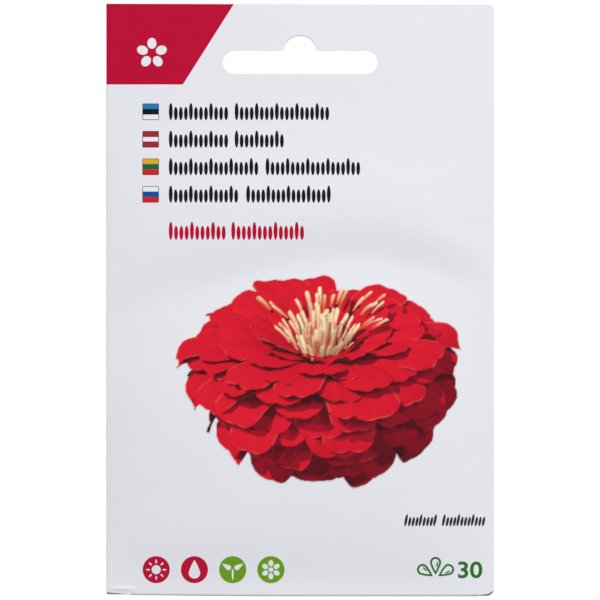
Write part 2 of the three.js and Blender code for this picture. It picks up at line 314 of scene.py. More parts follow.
# The relief of the front, in millimetres.
BULGE = 2.4
SIDE_POWER = 4
FOOT_RISE = 9.0
FOOT_FLAT = 3.4
FOOT_SOFTNESS = 1.2
VALLEY_HEIGHT = 67.5  # above the lower edge, at the middle
VALLEY_TILT = 0.11
VALLEY_ARCH = 0.0060
VALLEY_WAVE = 0.6
VALLEY_WAVELENGTH = 9
VALLEY_SOFTNESS = 1.5
SEED_REACH = 34.0
HEAD_FLAT = 19.0
HEAD_SWELL = 2.2
HEAD_RISE = 9.5
HEAD_RISE_TILT = 0.07
HEAD_POWER = 1.5
DENT_SPREAD = 0.2  # how near to the folds the dents reach
SOFT_DENTS = (  # across, up, width, height and depth of each
    (33, 77, 9, 3, 0.10), (36, 79, 3, 2, -0.10), (-37, 50, 4, 5, 0.10), (-35, 31, 6, 5, 0.10),
    (-8, 70, 22, 8, -0.12), (18, 92, 14, 9, 0.10), (-24, 84, 12, 9, -0.10), (12, 9, 16, 5, 0.08),
    (-22, 13, 12, 6, -0.10), (28, 33, 10, 16, 0.10), (-33, 62, 8, 8, -0.08), (-15, 8, 14, 3, 0.10),
    (-36.6, 1.25, 2.2, 0.42, -0.30),
)


def relief(x, z):
    """How far the front stands out over the pouch, in metres, for places in metres."""
    across = x / MM
    up = (z - BOTTOM) / MM
    inside = np.clip(1 - np.abs(x / FOLD_X) ** SIDE_POWER, 0, 1)
    foot = 1 - np.exp(-FOOT_SOFTNESS * np.logaddexp(0, (up - FOOT_FLAT) / FOOT_SOFTNESS) / FOOT_RISE)
    valley = VALLEY_HEIGHT + VALLEY_TILT * across - VALLEY_ARCH * across ** 2
    valley += VALLEY_WAVE * np.sin(across / VALLEY_WAVELENGTH)
    below = VALLEY_SOFTNESS * np.logaddexp(0, (valley - up) / VALLEY_SOFTNESS)
    above = np.clip(up - valley, 0, None)
    header = (TOP - BOTTOM) / MM - HEAD_FLAT
    pouch = BULGE * np.sin(math.pi / 2 * np.clip(below / SEED_REACH, 0, 1)) * foot
    rise = HEAD_RISE - HEAD_RISE_TILT * across
    fade = np.clip((header - up) / (header - valley), 0, 1) ** HEAD_POWER
    head = HEAD_SWELL * (1 - np.exp(-(above / rise) ** 2)) * fade
    height = (pouch + head) * inside
    for middle, level, width, tall, depth in SOFT_DENTS:
        dent = np.exp(-((across - middle) / width) ** 2 - ((up - level) / tall) ** 2)
        height -= depth * dent * inside ** DENT_SPREAD
    return height * MM


def vertex_places(piece):
    """The places of a mesh's vertices, one row each."""
    places = np.empty(len(piece.data.vertices) * 3)
    piece.data.vertices.foreach_get("co", places)
    return places.reshape(-1, 3)


def moved(piece, move):
    """Moves the vertices of a mesh by a function of their places."""
    places = vertex_places(piece)
    move(places)
    piece.data.vertices.foreach_set("co", places.ravel())


def swell(places):
    """The pouch and its dents, on the front alone."""
    x, y, z = places.T
    front = y < -FOLD_RADIUS + FINE
    y[front] -= relief(x[front], z[front])


def rounded_end(x, radius):
    """How far a corner of this radius cuts in towards the packet's right fold."""
    past = np.clip(x - (FOLD_X + FOLD_RADIUS - radius), 0, radius - FOLD_RADIUS)
    return radius - np.sqrt(radius ** 2 - past ** 2)


def lift_corners(places):
    """The foot sags from the left to the middle, the two right corners of all layers are rounded, and the
    front's two lower corners ride up a little."""
    x, y, z = places.T
    sag = FOOT_SAG * np.sin(math.pi / 2 * np.clip(1 + x / FOLD_X, 0, 1))
    z += (rounded_end(x, LOW_CORNER) - sag) * np.clip(1 - (z - BOTTOM) / CORNER_REACH, 0, 1)
    z -= rounded_end(x, TOP_CORNER) * np.clip(1 - (TOP - z) / CORNER_REACH, 0, 1)
    front = np.clip((FOLD_RADIUS - y) / (2 * FOLD_RADIUS), 0, 1)
    front *= np.clip(1 - (z - BOTTOM) / LIFT_HEIGHT, 0, 1)
    for side, (start, span, height, power) in ((-1, LEFT_LIFT), (1, RIGHT_LIFT)):
        z += height * np.clip((side * x - start) / span, 0, 1) ** power * front


moved(wrapper, swell)
moved(wrapper, lift_corners)

skin = wrapper.copy()
skin.data = wrapper.data.copy()
skin.name = "paper_skin"
bpy.context.collection.objects.link(skin)

modify(wrapper, "SOLIDIFY", thickness=PAPER, offset=-1.0, use_even_offset=True)

SLOT_WIDTH = 32 * MM
SLOT_BAND = 4.8 * MM
ARCH_RADIUS = 3.5 * MM
ARCH_RISE = 3.2 * MM
SLOT_END_STEPS = 14
ARCH_STEPS = 72
PUNCH_DEPTH = 4 * MM
BACK_SHIFT = 0.12 * MM  # the back layers lay a little lower under the punch, so their rim shows in the arch

bpy.ops.mesh.primitive_cube_add(size=1, location=(0, 0, -ARCH_RISE - SLOT_BAND / 2))
slot_punch = bpy.context.active_object
slot_punch.scale = (SLOT_WIDTH, PUNCH_DEPTH, SLOT_BAND)
settle(slot_punch)
bpy.ops.object.mode_set(mode="EDIT")
bpy.ops.mesh.select_mode(type="EDGE")
bpy.ops.mesh.select_all(action="DESELECT")
punch_mesh = bmesh.from_edit_mesh(slot_punch.data)
for edge in punch_mesh.edges:
    edge.select_set(abs(edge.verts[0].co.y - edge.verts[1].co.y) > PUNCH_DEPTH / 2)
bmesh.update_edit_mesh(slot_punch.data)
bpy.ops.mesh.bevel(offset=SLOT_BAND / 2 - FINE, segments=SLOT_END_STEPS, affect="EDGES")
bpy.ops.object.mode_set(mode="OBJECT")
modify(wrapper, "BOOLEAN", operation="DIFFERENCE", solver="EXACT", object=slot_punch)
bpy.data.objects.remove(slot_punch)

for side, lower in ((-1, 0), (1, BACK_SHIFT)):
    bpy.ops.mesh.primitive_cylinder_add(
        vertices=ARCH_STEPS, radius=ARCH_RADIUS, depth=PUNCH_DEPTH, rotation=(math.radians(90), 0, 0),
        location=(0, side * PUNCH_DEPTH / 2, -ARCH_RADIUS - lower))
    arch_punch = bpy.context.active_object
    settle(arch_punch)
    modify(wrapper, "BOOLEAN", operation="DIFFERENCE", solver="EXACT", object=arch_punch)
    bpy.data.objects.remove(arch_punch)


def smooth(piece):
    """Shades a piece smooth, but for its sharp edges."""
    only(piece)
    bpy.ops.object.shade_smooth_by_angle(angle=math.radians(35))


smooth(wrapper)


def finish(name, **constants):
    """A material, its shader with what is the same all over, and the place of each point to start from."""
    material = bpy.data.materials.new(name)
    material.use_nodes = True
    shader = material.node_tree.nodes["Principled BSDF"]
    for socket, value in constants.items():
        shader.inputs[socket.replace("_", " ")].default_value = value
    place = Value(material.node_tree).node("ShaderNodeTexCoord", output="Object")
    return material, shader, place


def grain(place, size, detail=2.0):
    """Noise from 0 to 1, in patches about as wide as the size."""
    return place.node("ShaderNodeTexNoise", {}, {"Vector": place, "Scale": 1 / size, "Detail": detail})


def between(amount, first, second):
    """A colour that goes from the first to the second, which are the Mix node's sockets 6 and 7."""
    colours = {"Factor": amount, 6: first if isinstance(first, Value) else (*first, 1),
               7: second if isinstance(second, Value) else (*second, 1)}
    return amount.node("ShaderNodeMix", {"data_type": "RGBA"}, colours, output=2)


def feed(shader, socket, value):
    """Links a value to one of the shader's sockets."""
    shader.id_data.links.new(value.output, shader.inputs[socket])


def ripple_normal(shader, height, distance):
    """Feeds a fine bump, as deep as the distance, to the shader."""
    bump = height.node("ShaderNodeBump", {}, {"Distance": distance, "Height": height})
    feed(shader, "Normal", bump)


PAPER_LIGHT = (0.752, 0.760, 0.800)
PAPER_DARK = (0.728, 0.735, 0.778)
FIBRE = 0.3 * MM  # the paper's fine grain, which its inks take on
PAPER_BUMP = 0.004 * MM
# Painted shade: the back sheet's inner face, seen inside the open lower corners, is coloured dark grey to
# stand for the shadow in that gap.
PAINTED_GAP_SHADE = (0.24, 0.24, 0.25)  # inside the open lower corners
GAP_HEIGHT = 1.8 * MM
GAP_MIDDLE = 0.04 * MM
GAP_HALF = 0.07 * MM

satin_paper, shader, place = finish("satin_paper")
cloud = grain(place, 8 * MM, 3.0)
fibre = grain(place, FIBRE, 4.0)
across, depth, level = (place.node("ShaderNodeSeparateXYZ", {}, {0: place}, output=axis) for axis in range(3))
# The mask for the painted shade: the back sheet's inner face, within the folds and low on the foot, is
# painted dark grey.
inner = depth.math("LESS_THAN", depth.math("ABSOLUTE", depth - GAP_MIDDLE), GAP_HALF)
inner = inner * across.math("LESS_THAN", across.math("ABSOLUTE", across), FOLD_X + GLUE / 2)
painted_gap_shade = inner * level.math("LESS_THAN", level, BOTTOM + GAP_HEIGHT)
paper_tone = between(cloud * 0.6 + fibre * 0.4, PAPER_DARK, PAPER_LIGHT)
feed(shader, "Base Color", between(painted_gap_shade, paper_tone, PAINTED_GAP_SHADE))
feed(shader, "Roughness", 0.42 + 0.10 * cloud + 0.06 * fibre)
ripple_normal(shader, fibre, PAPER_BUMP)
wrapper.data.materials.append(satin_paper)

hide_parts("wrapper")
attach(wrapper, "root")


# The glue. Thin dried films of clear glue hold the header shut, the lap down and the flap to the back.
# They lie between the layers of paper, and only their edges can be seen.

GLUE_THICK = (0.80, 0.76, 0.62)
GLUE_THIN = (0.88, 0.86, 0.76)


def coat_nodes(word, material):
    """Gives the material to the CAD nodes that have the word in their names."""
    for name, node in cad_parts.items():
        if word in name:
            node.data.materials.clear()
            node.data.materials.append(material)


dried_glue, shader, place = finish("dried_glue", IOR=1.5)
cloud = grain(place, 1.5 * MM, 3.0)
feed(shader, "Base Color", between(cloud, GLUE_THICK, GLUE_THIN))
feed(shader, "Roughness", 0.35 + 0.25 * cloud)
coat_nodes("glue", dried_glue)


# The seeds. Thirty flat brown husks lie loose in the foot of the pouch, matt and finely streaked.
# They keep their CAD shapes, and only show if the packet is cut open.

HUSK_DARK = (0.07, 0.045, 0.025)
HUSK_PALE = (0.30, 0.21, 0.12)

seed_husk, shader, place = finish("seed_husk")
fleck = grain(place, 0.5 * MM, 4.0)
patch = grain(place, 3 * MM)
feed(shader, "Base Color", between(fleck * 0.6 + patch * 0.4, HUSK_DARK, HUSK_PALE))
feed(shader, "Roughness", 0.70 + 0.2 * fleck)
ripple_normal(shader, fleck, 0.06 * MM)
coat_nodes("seed", seed_husk)


# The corner panel. A flat of crimson ink fills the packet's upper left corner down to a slanted edge, and
# leaves a small five-petalled flower of bare paper. An ink is a thin film lifted off the paper's own skin,
# and cut to its outline by a stencil.

INK_LIFT = 0.008 * MM
INK_FILM = 0.012 * MM
STENCIL_NEAR = 8 * MM
STENCIL_MARGIN = 0.8 * MM

PANEL_EDGE_TOP = -13.7 * MM
PANEL_EDGE_BOTTOM = -24.2 * MM
PANEL_BOTTOM = -10.15 * MM
FLOWER_PLACE = (-30.6 * MM, -3.7 * MM)
PETALS = 5
PETAL_WIDTH = 1.9 * MM
PETAL_LENGTH = 2.3 * MM
PETAL_REACH = 2.05 * MM

INK_GLOSS = 0.10
INK_SPREAD = 0.10
INK_ROUGHNESS = 0.40
INK_ROUGH_SPREAD = 0.12
INK_BUMP = 0.003 * MM
CRIMSON = (0.459, 0.001, 0.032)


def joined(parts):
    """Joins separate objects into one mesh."""
    bpy.ops.object.select_all(action="DESELECT")
    for part in parts:
        part.select_set(True)
    bpy.context.view_layer.objects.active = parts[0]
    bpy.ops.object.join()
    return parts[0]


FRONT, BACK = -1, 1


def upright(x, z, face=FRONT):
    """Where a flat shape is added: clear of the packet's front or back, and facing out."""
    turn = math.pi if face == BACK else 0
    return {"location": (x, face * STENCIL_NEAR, z), "rotation": (math.radians(90), 0, turn)}


def thicken(shape, depth=STENCIL_NEAR):
    """Draws a flat upright shape through the paper's face, into a closed stencil."""
    settle(shape)
    bpy.ops.object.mode_set(mode="EDIT")
    bpy.ops.mesh.select_all(action="SELECT")
    draw_out(y=depth)
    bpy.ops.mesh.select_all(action="SELECT")
    bpy.ops.mesh.normals_make_consistent(inside=False)
    bpy.ops.object.mode_set(mode="OBJECT")
    return shape


def punched(shape, holes, depth=STENCIL_NEAR):
    """A closed stencil of a flat shape with flat holes in it, which stay apart."""
    stencil = thicken(shape, depth)
    punch = thicken(joined(holes), 2 * depth)
    modify(stencil, "BOOLEAN", operation="DIFFERENCE", solver="EXACT", object=punch, use_self=True)
    bpy.data.objects.remove(punch)
    return stencil


def oval(x, z, width, height, turn=0.0, vertices=20, face=FRONT):
    """A flat upright oval, turned in its own plane."""
    bpy.ops.mesh.primitive_circle_add(vertices=vertices, radius=0.5, fill_type="NGON", **upright(x, z, face))
    shape = bpy.context.active_object
    shape.scale = (width, height, 1)
    stood = shape.rotation_euler.to_matrix().to_4x4()
    shape.rotation_euler = (Matrix.Rotation(turn, 4, "Y") @ stood).to_euler()
    return shape


def turned_about(x, z, turn, reach):
    """A place at a distance from a middle, in the direction of the turn, from straight up."""
    return x + reach * math.sin(turn), z + reach * math.cos(turn)


def print_ink(name, stencil, ink):
    """Cuts a film of ink off the skin of the paper's front or back with a stencil, and prints it."""
    low = vertex_places(stencil).min(0) - STENCIL_MARGIN
    high = vertex_places(stencil).max(0) + STENCIL_MARGIN
    film = skin.copy()
    film.data = skin.data.copy()
    film.name = name
    bpy.context.collection.objects.link(film)
    only(film)
    bpy.ops.object.mode_set(mode="EDIT")
    cut((0, high[1] - STENCIL_MARGIN / 2, 0), (0, 1, 0), clear_outer=True)
    cut((low[0], 0, 0), (1, 0, 0), clear_inner=True)
    cut((high[0], 0, 0), (1, 0, 0), clear_outer=True)
    cut((0, 0, low[2]), (0, 0, 1), clear_inner=True)
    cut((0, 0, high[2]), (0, 0, 1), clear_outer=True)
    bpy.ops.object.mode_set(mode="OBJECT")
    modify(film, "DISPLACE", strength=INK_LIFT, mid_level=0.0)
    modify(film, "SOLIDIFY", thickness=INK_FILM, offset=1.0)
    modify(film, "BOOLEAN", operation="INTERSECT", solver="EXACT", object=stencil)
    bpy.data.objects.remove(stencil)
    smooth(film)
    film.data.materials.append(ink)
    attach(film, "root")
    return film


def flat_ink(name, colour):
    """Printed ink: its density drifts a little with the paper's grain, and it dries to a soft gloss."""
    ink, shader, place = finish(name, Specular_IOR_Level=INK_GLOSS)
    cloud = grain(place, 5 * MM)
    fibre = grain(place, FIBRE, 3.0)
    dense = [channel * (1 - INK_SPREAD) for channel in colour]
    thin = [channel * (1 + INK_SPREAD) + 0.002 for channel in colour]
    feed(shader, "Base Color", between(cloud * 0.5 + fibre * 0.5, dense, thin))
    feed(shader, "Roughness", INK_ROUGHNESS + INK_ROUGH_SPREAD * fibre)
    ripple_normal(shader, fibre, INK_BUMP)
    return ink


bpy.ops.mesh.primitive_plane_add(size=1, **upright(0, 0))
panel = bpy.context.active_object
left, over = cad_box[0][0] - MM, TOP + MM
slant = (PANEL_EDGE_TOP - PANEL_EDGE_BOTTOM) / (TOP - PANEL_BOTTOM)
right = PANEL_EDGE_BOTTOM + slant * (over - PANEL_BOTTOM)
panel.scale = (right - left, over - PANEL_BOTTOM, 1)
panel.location = ((right + left) / 2, -STENCIL_NEAR, (over + PANEL_BOTTOM) / 2)
settle(panel)
bpy.ops.object.mode_set(mode="EDIT")
bpy.ops.mesh.select_mode(type="VERT")
choose(panel, lambda p: near(p.x, right) and near(p.z, PANEL_BOTTOM))
bpy.ops.transform.translate(value=(PANEL_EDGE_BOTTOM - right, 0, 0))
bpy.ops.object.mode_set(mode="OBJECT")
petals = []
for petal in range(PETALS):
    turn = petal * math.tau / PETALS
    petals.append(oval(*turned_about(*FLOWER_PLACE, turn, PETAL_REACH), PETAL_WIDTH, PETAL_LENGTH, turn))
crimson_ink = flat_ink("crimson_ink", CRIMSON)
panel_stencil = punched(panel, petals, STENCIL_NEAR + FOLD_RADIUS / 2)
print_ink("print_corner_panel", panel_stencil, crimson_ink)


# The striped chips. Four small square chips, each of three level stripes in a thin dark outline, stand in a
# column below the panel, one beside each black row.

CHIP_SIZE = 3.4 * MM
CHIP_X = -30.85 * MM
FIRST_ROW = -15.8 * MM
ROW_PITCH = 5.69 * MM
CHIP_CORNER = 0.2 * MM
CHIP_LINE = 0.11 * MM

BARE = (0.76, 0.765, 0.80)
INK_BLACK = (0.008, 0.007, 0.008)
CHIPS = (  # the three stripes from the top, and the middle one's share of the height
    ((0.010, 0.190, 0.470), INK_BLACK, BARE, 0.34),
    ((0.330, 0.018, 0.038), BARE, (0.330, 0.018, 0.038), 0.27),
    ((0.700, 0.370, 0.012), (0.008, 0.130, 0.050), (0.620, 0.012, 0.018), 0.34),
    (BARE, (0.002, 0.075, 0.340), (0.600, 0.010, 0.020), 0.34),
)


def chip_ink(name, stripes, middle_share, level):
    """Three stripes by height, and the outline near the chip's edges."""
    ink, shader, place = finish(name, Specular_IOR_Level=INK_GLOSS)
    across = place.node("ShaderNodeSeparateXYZ", {}, {0: place})
    up = place.node("ShaderNodeSeparateXYZ", {}, {0: place}, output=2)
    half = middle_share * CHIP_SIZE / 2
    colour = between(up.math("GREATER_THAN", up, level - half), stripes[2], stripes[1])
    colour = between(up.math("GREATER_THAN", up, level + half), colour, stripes[0])
    aside, apart = across.math("ABSOLUTE", across - CHIP_X), up.math("ABSOLUTE", up - level)
    outline = across.math("GREATER_THAN", across.math("MAXIMUM", aside, apart), CHIP_SIZE / 2 - CHIP_LINE)
    feed(shader, "Base Color", between(outline, colour, INK_BLACK))
    feed(shader, "Roughness", INK_ROUGHNESS + INK_ROUGH_SPREAD * grain(place, FIBRE, 3.0))
    return ink


for row, (*stripes, middle_share) in enumerate(CHIPS):
    level = FIRST_ROW - row * ROW_PITCH
    bpy.ops.mesh.primitive_plane_add(size=CHIP_SIZE, **upright(CHIP_X, level))
    chip = bpy.context.active_object
    settle(chip)
    bpy.ops.object.mode_set(mode="EDIT")
    bpy.ops.mesh.select_all(action="SELECT")
    bpy.ops.mesh.bevel(offset=CHIP_CORNER, segments=4, affect="VERTICES")
    bpy.ops.object.mode_set(mode="OBJECT")
    name = f"print_chip_{row + 1}"
    print_ink(name, thicken(chip), chip_ink(name, stripes, middle_share, level))


# The printed rows. Beside and below the chips stand rows of small upright seed shapes, set in two groups
# each: four black rows, a crimson one, and a small slanted grey one to the right of the foot.

ROW_X = -27.1 * MM
ROW_DROP = 1.76 * MM
SHORT_SEED = 2.8 * MM
TALL_SEED = 3.6 * MM
TALL_EVERY = 4
SEED_MARK_WIDTH = 0.80 * MM
SEED_MARK_PITCH = 1.04 * MM
# The end of a row's first group, the start of its second one and that one's length, in millimetres.
MARK_ROWS = ((12.3, 13.6, 19.7), (12.3, 13.6, 9.8), (18.8, 20.0, 19.2), (14.7, 16.0, 17.2))
VARIETY_Z = -42.3 * MM
VARIETY_ROW = (11.6, 12.9, 14.8)
VARIETY_SCALE = 1.05
CAPTION_X = 21.6 * MM
CAPTION_Z = -101.45 * MM
CAPTION_ROW = (6.9, 7.8, 8.5)
CAPTION_SCALE = 0.72
CAPTION_SLANT = 0.2
DARK_GREY = (0.028, 0.026, 0.036)


def seed_row(x, base, groups, scale=1.0, slant=0.0):
    """The stencils of one row on its base line: two groups of upright seeds, every fourth seed a tall one."""
    first_end, second_start, second_length = (value * MM for value in groups)
    pitch = SEED_MARK_PITCH * scale
    seeds = []
    for start, length in ((0, first_end), (second_start, second_length)):
        count = max(1, round((length + pitch - SEED_MARK_WIDTH * scale) / pitch))
        for seed in range(count):
            middle = x + start + SEED_MARK_WIDTH * scale / 2 + seed * pitch
            height = (SHORT_SEED if seed % TALL_EVERY else TALL_SEED) * scale
            seeds.append(oval(middle, base + height / 2, SEED_MARK_WIDTH * scale, height, slant, 12))
    return seeds


black_ink = flat_ink("black_ink", INK_BLACK)
black_rows = []
for row, groups in enumerate(MARK_ROWS):
    black_rows += seed_row(ROW_X, FIRST_ROW - row * ROW_PITCH - ROW_DROP, groups)
print_ink("print_name_rows", thicken(joined(black_rows)), black_ink)
crimson_row = seed_row(ROW_X, VARIETY_Z, VARIETY_ROW, VARIETY_SCALE)
print_ink("print_variety_row", thicken(joined(crimson_row)), crimson_ink)
grey_ink = flat_ink("grey_ink", DARK_GREY)
caption = seed_row(CAPTION_X, CAPTION_Z, CAPTION_ROW, CAPTION_SCALE, CAPTION_SLANT)
print_ink("print_caption_row", thicken(joined(caption)), grey_ink)


# The care discs. At the left of the packet's foot four round discs stand in a row, two crimson and two green,
# each with a plain pictogram left in bare paper: sun, water drop, sprout and flower.

DISC_DIAMETER = 5.6 * MM
DISC_Z = -110.4 * MM
FIRST_DISC = -29.7 * MM
DISC_PITCH = 7.9 * MM
SUN_RAYS = 8
FLOWER_PETALS = 6
LEAF_GREEN = (0.138, 0.313, 0.008)


def drop(x, z, width, length, turn=0.0):
    """A flat upright drop about the middle of its length: a round end, and a pointed one towards the turn."""
    start = -(length - width) / 2
    shape = oval(0, start, width, width, vertices=24)
    settle(shape)

    def draw_point(places):
        upper = np.clip((places[:, 2] - start) / (width / 2), 0, 1)
        places[:, 0] *= np.sqrt(1 - upper)
        places[:, 2] += upper * (length - width)

    moved(shape, draw_point)
    shape.data.transform(Matrix.Translation((x, 0, z)) @ Matrix.Rotation(turn, 4, "Y"))
    return shape


def sun(x, z):
    """A round sun in a ring of short rays."""
    rays = [oval(x, z, 1.9 * MM, 1.9 * MM)]
    for ray in range(SUN_RAYS):
        turn = ray * math.tau / SUN_RAYS
        rays.append(oval(*turned_about(x, z, turn, 1.7 * MM), 0.36 * MM, 0.85 * MM, turn, 10))
    return rays


def water_drop(x, z):
    """One falling drop."""
    return [drop(x, z + 0.1 * MM, 2.4 * MM, 3.9 * MM)]


def sprout(x, z):
    """A short stem between two leaves."""
    leaves = [drop(x + side * 1.3 * MM, z + 0.7 * MM, 1.1 * MM, 2.1 * MM, side) for side in (-1, 1)]
    return [oval(x, z - 0.95 * MM, 0.42 * MM, 2.3 * MM), *leaves]


def small_flower(x, z):
    """A round heart in a ring of petals."""
    petals = [oval(x, z, 1.0 * MM, 1.0 * MM)]
    for petal in range(FLOWER_PETALS):
        turn = petal * math.tau / FLOWER_PETALS
        petals.append(oval(*turned_about(x, z, turn, 1.35 * MM), 1.05 * MM, 1.35 * MM, turn))
    return petals


leaf_green_ink = flat_ink("leaf_green_ink", LEAF_GREEN)
DISCS = (("sun", sun, crimson_ink, "crimson_ink"),
         ("water", water_drop, crimson_ink, "crimson_ink"),
         ("sprout", sprout, leaf_green_ink, "green_ink"),
         ("flower", small_flower, leaf_green_ink, "green_ink"))
for step, (name, draw, ink, slot_name) in enumerate(DISCS):
    x = FIRST_DISC + step * DISC_PITCH
    disc = oval(x, DISC_Z, DISC_DIAMETER, DISC_DIAMETER, vertices=48)
    print_ink(f"print_disc_{name}", punched(disc, draw(x, DISC_Z)), ink)


# The seed count. Three seeds in outline fan out beside a plain green number, the count of seeds inside.

SEED_COUNT = "30"
FAN_PLACE = (28.0 * MM, -112.1 * MM)
FAN_TURNS = (-1.0, 0.0, 1.0)
FAN_REACH = 2.5 * MM
SEED_WIDTH = 2.35 * MM
SEED_LENGTH = 3.7 * MM
OUTLINE = 0.42 * MM
TIP_LINE = 0.72 * MM
STROKE_WIDTH = 0.3 * MM
STROKE_LENGTH = 1.3 * MM
STROKE_OUT = 0.3 * MM
STROKE_ASIDE = 0.12
STROKE_TURN = 0.15
NUMBER_PLACE = (35.15 * MM, -110.45 * MM)
NUMBER_HEIGHT = 3.5 * MM
NUMBER_STRETCH = 1.13
NUMBER_WEIGHT = 0.02
DIGIT_STEPS = 5
DEEP_GREEN = (0.020, 0.150, 0.020)


def plain_number(text, x, z, height, stretch=1.0, weight=0.0, face=FRONT):
    """A number as a flat shape of a given height about a middle."""
    bpy.ops.object.text_add(rotation=upright(0, 0, face)["rotation"])
    number = bpy.context.active_object
    number.data.body = text
    number.data.offset = weight
    number.data.resolution_u = DIGIT_STEPS
    bpy.ops.object.convert(target="MESH")
    settle(number)
    low, high = vertex_places(number).min(0), vertex_places(number).max(0)
    scale = height / (high[2] - low[2])
    number.data.transform(
        Matrix.Translation((x, face * STENCIL_NEAR, z)) @ Matrix.Diagonal((scale * stretch, 1, scale, 1))
        @ Matrix.Translation((-(low[0] + high[0]) / 2, 0, -(low[2] + high[2]) / 2)))
    only(number)
    bpy.ops.object.mode_set(mode="EDIT")
    bpy.ops.mesh.select_all(action="SELECT")
    bpy.ops.mesh.remove_doubles(threshold=FINE)
    bpy.ops.object.mode_set(mode="OBJECT")
    return number


fan = []
for turn in FAN_TURNS:
    seed = drop(*turned_about(*FAN_PLACE, turn, FAN_REACH), SEED_WIDTH, SEED_LENGTH, turn + math.pi)
    middle = turned_about(*FAN_PLACE, turn, FAN_REACH + (TIP_LINE - OUTLINE) / 2)
    hollow = drop(*middle, SEED_WIDTH - 2 * OUTLINE, SEED_LENGTH - OUTLINE - TIP_LINE, turn + math.pi)
    fan.append(punched(seed, [hollow]))
    middle = turned_about(*FAN_PLACE, turn + STROKE_ASIDE, FAN_REACH + STROKE_OUT)
    fan.append(thicken(oval(*middle, STROKE_WIDTH, STROKE_LENGTH, turn + STROKE_TURN, 12)))
deep_green_ink = flat_ink("deep_green_ink", DEEP_GREEN)
print_ink("print_seed_fan", joined(fan), deep_green_ink)
number = plain_number(SEED_COUNT, *NUMBER_PLACE, NUMBER_HEIGHT, NUMBER_STRETCH, NUMBER_WEIGHT)
print_ink("print_number", thicken(number), deep_green_ink)


# The back print. The two halves of the back, clear of the lap, carry plain rules, rows of lying seed dashes
# and a calendar of twelve numbered boxes, with two months picked out in crimson and three in green.

BACK_INNER = 8.5 * MM  # the edges of the print on each half, from the packet's middle
BACK_OUTER = 36.0 * MM
DASH_HEIGHT = 0.7 * MM
DASH_PITCH = 2.3 * MM
DASH_GAP = 0.9 * MM
DASH_LENGTHS = (5.2, 2.6, 7.1, 3.9, 4.6, 6.3, 2.1, 5.7)
LAST_ROW = 0.55
# The half, the height of the rule and the number of rows of each block.
DASH_BLOCKS = ((1, -22.0, 6), (1, -42.0, 5), (-1, -22.0, 4), (-1, -64.0, 5), (1, -74.0, 4), (-1, -84.0, 4))
RULE_HEIGHT = 0.45 * MM
BOX = (5.6 * MM, 4.4 * MM)
BOX_PITCH = (6.5 * MM, 5.3 * MM)
BOXES_ACROSS = 4
CALENDAR_TOP = -37.5 * MM
CALENDAR_DIGIT = 2.2 * MM
PALE_GREY = (0.30, 0.30, 0.33)


def bar(x, z, width, height):
    """A flat bar on the back."""
    bpy.ops.mesh.primitive_plane_add(size=1, **upright(x, z, BACK))
    shape = bpy.context.active_object
    shape.scale = (width, height, 1)
    return shape


rest_ink = flat_ink("rest_ink", PALE_GREY)
dashes, rules = [], []
for side, first, count in DASH_BLOCKS:
    level = first * MM
    rules.append(bar(side * (BACK_INNER + BACK_OUTER) / 2, level, BACK_OUTER - BACK_INNER, RULE_HEIGHT))
    for line in range(count):
        level -= DASH_PITCH
        reach = BACK_OUTER if side > 0 else -BACK_INNER
        end = reach - (BACK_OUTER - BACK_INNER) * (LAST_ROW if line == count - 1 else 1.0)
        word = line * 3 + count
        while reach - DASH_LENGTHS[word % len(DASH_LENGTHS)] * MM > end:
            length = DASH_LENGTHS[word % len(DASH_LENGTHS)] * MM
            dashes.append(bar(reach - length / 2, level, length, DASH_HEIGHT))
            reach -= length + DASH_GAP
            word += 1
print_ink("print_back_rows", thicken(joined(dashes), -STENCIL_NEAR), grey_ink)
print_ink("print_back_rules", thicken(joined(rules), -STENCIL_NEAR), crimson_ink)

CALENDAR = (("sowing", (4, 5), crimson_ink, "crimson_ink"),
            ("bloom", (7, 8, 9), leaf_green_ink, "green_ink"),
            ("rest", (1, 2, 3, 6, 10, 11, 12), rest_ink, "black_ink"))
for name, months, ink, slot_name in CALENDAR:
    boxes = []
    for month in months:
        line, column = divmod(month - 1, BOXES_ACROSS)
        x = -BACK_INNER - BOX[0] / 2 - column * BOX_PITCH[0]
        z = CALENDAR_TOP - BOX[1] / 2 - line * BOX_PITCH[1]
        digits = plain_number(str(month), x, z, CALENDAR_DIGIT, face=BACK)
        boxes.append(punched(bar(x, z, *BOX), [digits], -STENCIL_NEAR))
    print_ink(f"print_months_{name}", joined(boxes), ink)


# The picture. A big red double flower fills the front below the rows, seen from a little above, with pale
# florets at its heart. It is posed here petal by petal, in millimetres, and looked at along rays. What they
# meet, in sun or in shade, is laid down as one film of ink that carries its colours point by point.

PICTURE_MIDDLE = Vector((4.2 * MM, 0, -69.8 * MM))
PICTURE_CELL = 0.21
PICTURE_CELLS = (300, 236)
PICTURE_SCALE = 0.964
EYE_RISE = math.radians(27)
EYE_DROP = -8.2
EYE_FAR = 80.0
SUN = (-0.58, -0.30, 0.76)
SKY = ((0.3, -0.6, 0.75), (-0.6, -0.5, 0.5), (0.7, -0.4, 0.5), (0.0, -0.95, 0.2))
SUN_REACH = 60.0
SKY_REACH = 14.0
FAR_WAY = (0.72, -0.25, -0.65)  # the flower's low right side, which lies in the shade
FAR_START = 12.0
FAR_SPAN = 22.0
FAR_SHADE = 0.38
SHADOW_LIFT = 0.12  # how far off its petal a shadow ray starts, and how far along its own way
SHADOW_LEAD = 0.05
SKY_LIGHT = 0.60
SKY_LEAST = 0.15
SUN_LIGHT = 0.26  # on a petal that is edge on to the sun, and how much more on one that faces it
SUN_FACING = 0.72
TONE_LIGHT = 0.03
VEIN_LIGHT = 0.035

